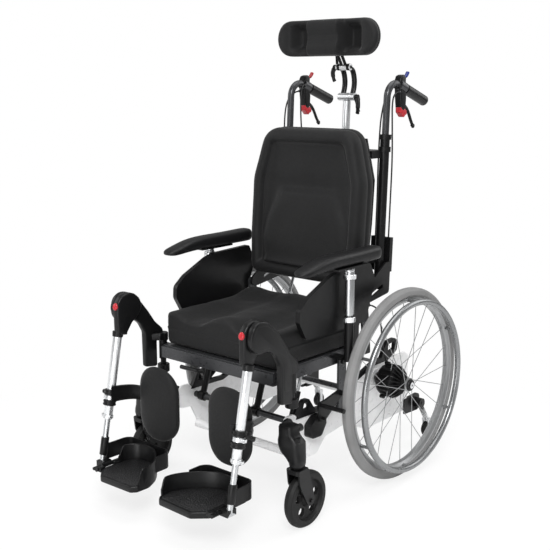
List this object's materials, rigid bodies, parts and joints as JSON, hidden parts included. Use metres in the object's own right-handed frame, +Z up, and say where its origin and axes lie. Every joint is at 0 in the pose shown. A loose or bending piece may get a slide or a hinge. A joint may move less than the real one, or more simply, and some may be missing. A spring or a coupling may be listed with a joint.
{
  "type": "tilt in space wheelchair",
  "caption": "Manual wheelchair with a seat that tilts as one, reclining back, elevating legrests, headrest, push handles, drum brakes and large handrim wheels.",
  "frame": {"origin": "on the floor, under the middle of the whole chair", "axes": "+Z up, -Y the way the chair faces, +X towards the sitter's left hand"},
  "size_m": [0.7534, 1.122, 1.428],
  "materials": {
    "white_frame": "gloss",
    "grey_frame": "satin",
    "black_metal": "satin",
    "silver_tube": "satin",
    "steel": "satin",
    "grey_tyre": "matte",
    "black_tyre": "matte",
    "rim_alloy": "satin",
    "handrim_metal": "satin",
    "black_plastic": "matte",
    "upholstery": "matte",
    "pad_black": "satin",
    "red_plastic": "gloss",
    "blue_plastic": "gloss",
    "cable_black": "matte",
    "armpad_black": "satin"
  },
  "bodies": {
    "base": {"side_plates": "white_frame", "base_tubes": "grey_frame", "caster_housings": "black_plastic", "tie_down_loops": "black_metal", "drum_brakes": "black_metal", "base_clamps": "black_plastic", "drum_cables": "cable_black"},
    "seat": {"seat_frame": "grey_frame", "seat_cushion": "upholstery", "side_guards": "black_plastic"},
    "tilt_cylinders": {"tilt_strut_cylinders": "black_metal"},
    "tilt_rods": {"tilt_strut_rods": "steel"},
    "recline_cylinders": {"recline_strut_cylinders": "black_metal"},
    "recline_rods": {"recline_strut_rods": "steel"},
    "back": {"back_shell": "black_plastic", "back_cushion": "upholstery"},
    "headrest_mast": {"headrest_post": "silver_tube"},
    "headrest_arm": {"headrest_link": "black_metal"},
    "head_pad": {"headrest_bracket": "black_metal", "headrest_pad": "upholstery"},
    "drive_wheel_left": {"tyre_left": "grey_tyre", "wheel_left": "rim_alloy", "handrim_left": "handrim_metal"},
    "fork_left": {"caster_fork_left": "black_plastic"},
    "caster_left": {"caster_wheel_left": "black_tyre"},
    "anti_tip_left": {"anti_tip_arm_left": "silver_tube"},
    "anti_tip_roller_left": {"anti_tip_wheel_left": "black_tyre"},
    "parking_lever_left": {"parking_brake_left": "black_metal"},
    "handle_left": {"push_handle_left": "black_metal", "handle_cables_left": "cable_black"},
    "brake_left": {"brake_lever_left": "black_plastic"},
    "trigger_left": {"release_lever_left": "blue_plastic"},
    "armrest_left": {"arm_post_left": "silver_tube", "armpad_left": "armpad_black"},
    "legrest_left": {"hanger_left": "grey_frame"},
    "leg_left": {"leg_tube_left": "silver_tube"},
    "button_left": {"release_button_left": "red_plastic"},
    "foot_left": {"foot_tube_left": "steel"},
    "plate_left": {"footplate_left": "black_plastic"},
    "calf_left": {"calf_pad_left": "pad_black"},
    "drive_wheel_right": {"tyre_right": "grey_tyre", "wheel_right": "rim_alloy", "handrim_right": "handrim_metal"},
    "fork_right": {"caster_fork_right": "black_plastic"},
    "caster_right": {"caster_wheel_right": "black_tyre"},
    "anti_tip_right": {"anti_tip_arm_right": "silver_tube"},
    "anti_tip_roller_right": {"anti_tip_wheel_right": "black_tyre"},
    "parking_lever_right": {"parking_brake_right": "black_metal"},
    "handle_right": {"push_handle_right": "black_metal", "handle_cables_right": "cable_black"},
    "brake_right": {"brake_lever_right": "black_plastic"},
    "trigger_right": {"release_lever_right": "red_plastic"},
    "armrest_right": {"arm_post_right": "silver_tube", "armpad_right": "armpad_black"},
    "legrest_right": {"hanger_right": "grey_frame"},
    "leg_right": {"leg_tube_right": "silver_tube"},
    "button_right": {"release_button_right": "red_plastic"},
    "foot_right": {"foot_tube_right": "steel"},
    "plate_right": {"footplate_right": "black_plastic"},
    "calf_right": {"calf_pad_right": "pad_black"}
  },
  "joints": [
    {"name": "seat_tilt", "type": "hinge", "parent": "base", "child": "seat", "pos_m": [0, 0.036, 0.407], "axis": [-1, 0, 0], "range_deg": [0, 20], "deforming": ["drum_cables"]},
    {"name": "tilt_strut_pivot", "type": "hinge", "parent": "base", "child": "tilt_cylinders", "pos_m": [0, -0.138, 0.25], "axis": [1, 0, 0], "range_deg": [-0.2, 3.8]},
    {"name": "tilt_strut_travel", "type": "slide", "parent": "tilt_cylinders", "child": "tilt_rods", "axis": [0, 0.324, 0.9461], "range_m": [-0.001, 0.0429]},
    {"name": "back_recline", "type": "hinge", "parent": "seat", "child": "back", "pos_m": [0, 0.152, 0.573], "axis": [-1, 0, 0], "range_deg": [0, 30]},
    {"name": "recline_strut_pivot", "type": "hinge", "parent": "seat", "child": "recline_cylinders", "pos_m": [0, 0.208, 0.415], "axis": [1, 0, 0], "range_deg": [-10.63, 0.2]},
    {"name": "recline_strut_travel", "type": "slide", "parent": "recline_cylinders", "child": "recline_rods", "axis": [0, 0.3784, 0.9256], "range_m": [-0.0643, 0.001]},
    {"name": "headrest_height", "type": "slide", "parent": "back", "child": "headrest_mast", "axis": [0, 0.0454, 0.999], "range_m": [-0.02, 0.08]},
    {"name": "headrest_link_pivot", "type": "hinge", "parent": "headrest_mast", "child": "headrest_arm", "pos_m": [0, 0.366, 1.187], "axis": [1, 0, 0], "range_deg": [-20, 25]},
    {"name": "headrest_pad_pivot", "type": "hinge", "parent": "headrest_arm", "child": "head_pad", "pos_m": [0, 0.348, 1.282], "axis": [1, 0, 0], "range_deg": [-20, 25]},
    {"name": "drive_wheel_left_spin", "type": "hinge", "parent": "base", "child": "drive_wheel_left", "pos_m": [0.322, 0.242, 0.305], "axis": [1, 0, 0], "continuous": true},
    {"name": "caster_left_swivel", "type": "hinge", "parent": "base", "child": "fork_left", "pos_m": [0.32, -0.274, 0.2], "axis": [0, 0, 1], "continuous": true},
    {"name": "caster_left_spin", "type": "hinge", "parent": "fork_left", "child": "caster_left", "pos_m": [0.32, -0.238, 0.083], "axis": [1, 0, 0], "continuous": true},
    {"name": "anti_tip_left_fold", "type": "hinge", "parent": "base", "child": "anti_tip_left", "pos_m": [0.238, 0.484, 0.158], "axis": [1, 0, 0], "range_deg": [0, 100]},
    {"name": "anti_tip_left_roll", "type": "hinge", "parent": "anti_tip_left", "child": "anti_tip_roller_left", "pos_m": [0.238, 0.536, 0.051], "axis": [1, 0, 0], "continuous": true},
    {"name": "parking_brake_left_turn", "type": "hinge", "parent": "base", "child": "parking_lever_left", "pos_m": [0.25, -0.076, 0.261], "axis": [-1, 0, 0], "range_deg": [0, 14]},
    {"name": "handle_left_height", "type": "slide", "parent": "back", "child": "handle_left", "axis": [0, 0.0454, 0.999], "range_m": [0, 0.08]},
    {"name": "brake_lever_left_pull", "type": "hinge", "parent": "handle_left", "child": "brake_left", "pos_m": [0.194, 0.38, 1.196], "axis": [1, 0, 0], "range_deg": [0, 25], "stiffness_Nm_per_rad": 0.6, "springref_deg": -11.46},
    {"name": "release_lever_left_pull", "type": "hinge", "parent": "handle_left", "child": "trigger_left", "pos_m": [0.194, 0.388, 1.25], "axis": [-1, 0, 0], "range_deg": [0, 10], "stiffness_Nm_per_rad": 0.6, "springref_deg": -11.46},
    {"name": "armrest_left_height", "type": "slide", "parent": "seat", "child": "armrest_left", "axis": [0, 0, 1], "range_m": [0, 0.08]},
    {"name": "legrest_left_swing", "type": "hinge", "parent": "seat", "child": "legrest_left", "pos_m": [0.263, -0.231, 0.4], "axis": [0, 0, 1], "range_deg": [0, 90]},
    {"name": "knee_left_lift", "type": "hinge", "parent": "legrest_left", "child": "leg_left", "pos_m": [0.265, -0.394, 0.573], "axis": [-1, 0, 0], "range_deg": [0, 70]},
    {"name": "button_left_press", "type": "slide", "parent": "leg_left", "child": "button_left", "axis": [0, 0.9781, -0.2079], "range_m": [0, 0.003], "stiffness_N_per_m": 300, "springref_m": -0.003},
    {"name": "foot_left_length", "type": "slide", "parent": "leg_left", "child": "foot_left", "axis": [0, -0.1959, -0.9806], "range_m": [-0.02, 0.04]},
    {"name": "footplate_left_fold", "type": "hinge", "parent": "foot_left", "child": "plate_left", "pos_m": [0.244, -0.458, 0.112], "axis": [0, 1, 0], "range_deg": [0, 80]},
    {"name": "calf_left_swing", "type": "hinge", "parent": "leg_left", "child": "calf_left", "pos_m": [0.263, -0.411, 0.5], "axis": [0, 0.1959, 0.9806], "range_deg": [0, 80]},
    {"name": "drive_wheel_right_spin", "type": "hinge", "parent": "base", "child": "drive_wheel_right", "pos_m": [-0.322, 0.242, 0.305], "axis": [1, 0, 0], "continuous": true},
    {"name": "caster_right_swivel", "type": "hinge", "parent": "base", "child": "fork_right", "pos_m": [-0.32, -0.274, 0.2], "axis": [0, 0, 1], "continuous": true},
    {"name": "caster_right_spin", "type": "hinge", "parent": "fork_right", "child": "caster_right", "pos_m": [-0.32, -0.238, 0.083], "axis": [1, 0, 0], "continuous": true},
    {"name": "anti_tip_right_fold", "type": "hinge", "parent": "base", "child": "anti_tip_right", "pos_m": [-0.238, 0.484, 0.158], "axis": [1, 0, 0], "range_deg": [0, 100]},
    {"name": "anti_tip_right_roll", "type": "hinge", "parent": "anti_tip_right", "child": "anti_tip_roller_right", "pos_m": [-0.238, 0.536, 0.051], "axis": [1, 0, 0], "continuous": true},
    {"name": "parking_brake_right_turn", "type": "hinge", "parent": "base", "child": "parking_lever_right", "pos_m": [-0.25, -0.076, 0.261], "axis": [-1, 0, 0], "range_deg": [0, 14]},
    {"name": "handle_right_height", "type": "slide", "parent": "back", "child": "handle_right", "axis": [0, 0.0454, 0.999], "range_m": [0, 0.08]},
    {"name": "brake_lever_right_pull", "type": "hinge", "parent": "handle_right", "child": "brake_right", "pos_m": [-0.194, 0.38, 1.196], "axis": [1, 0, 0], "range_deg": [0, 25], "stiffness_Nm_per_rad": 0.6, "springref_deg": -11.46},
    {"name": "release_lever_right_pull", "type": "hinge", "parent": "handle_right", "child": "trigger_right", "pos_m": [-0.194, 0.388, 1.25], "axis": [-1, 0, 0], "range_deg": [0, 10], "stiffness_Nm_per_rad": 0.6, "springref_deg": -11.46},
    {"name": "armrest_right_height", "type": "slide", "parent": "seat", "child": "armrest_right", "axis": [0, 0, 1], "range_m": [0, 0.08]},
    {"name": "legrest_right_swing", "type": "hinge", "parent": "seat", "child": "legrest_right", "pos_m": [-0.263, -0.231, 0.4], "axis": [0, 0, -1], "range_deg": [0, 90]},
    {"name": "knee_right_lift", "type": "hinge", "parent": "legrest_right", "child": "leg_right", "pos_m": [-0.265, -0.394, 0.573], "axis": [-1, 0, 0], "range_deg": [0, 70]},
    {"name": "button_right_press", "type": "slide", "parent": "leg_right", "child": "button_right", "axis": [0, 0.9781, -0.2079], "range_m": [0, 0.003], "stiffness_N_per_m": 300, "springref_m": -0.003},
    {"name": "foot_right_length", "type": "slide", "parent": "leg_right", "child": "foot_right", "axis": [0, -0.1959, -0.9806], "range_m": [-0.02, 0.04]},
    {"name": "footplate_right_fold", "type": "hinge", "parent": "foot_right", "child": "plate_right", "pos_m": [-0.244, -0.458, 0.112], "axis": [0, -1, 0], "range_deg": [0, 80]},
    {"name": "calf_right_swing", "type": "hinge", "parent": "leg_right", "child": "calf_right", "pos_m": [-0.263, -0.411, 0.5], "axis": [0, -0.1959, -0.9806], "range_deg": [0, 80]}
  ],
  "couplings": [
    {"joint": "tilt_strut_pivot", "follows": "seat_tilt", "ratio": 0.17984},
    {"joint": "tilt_strut_travel", "follows": "seat_tilt", "m_per_rad": 0.12002},
    {"joint": "recline_strut_pivot", "follows": "back_recline", "ratio": -0.34775},
    {"joint": "recline_strut_travel", "follows": "back_recline", "m_per_rad": -0.12093}
  ]
}
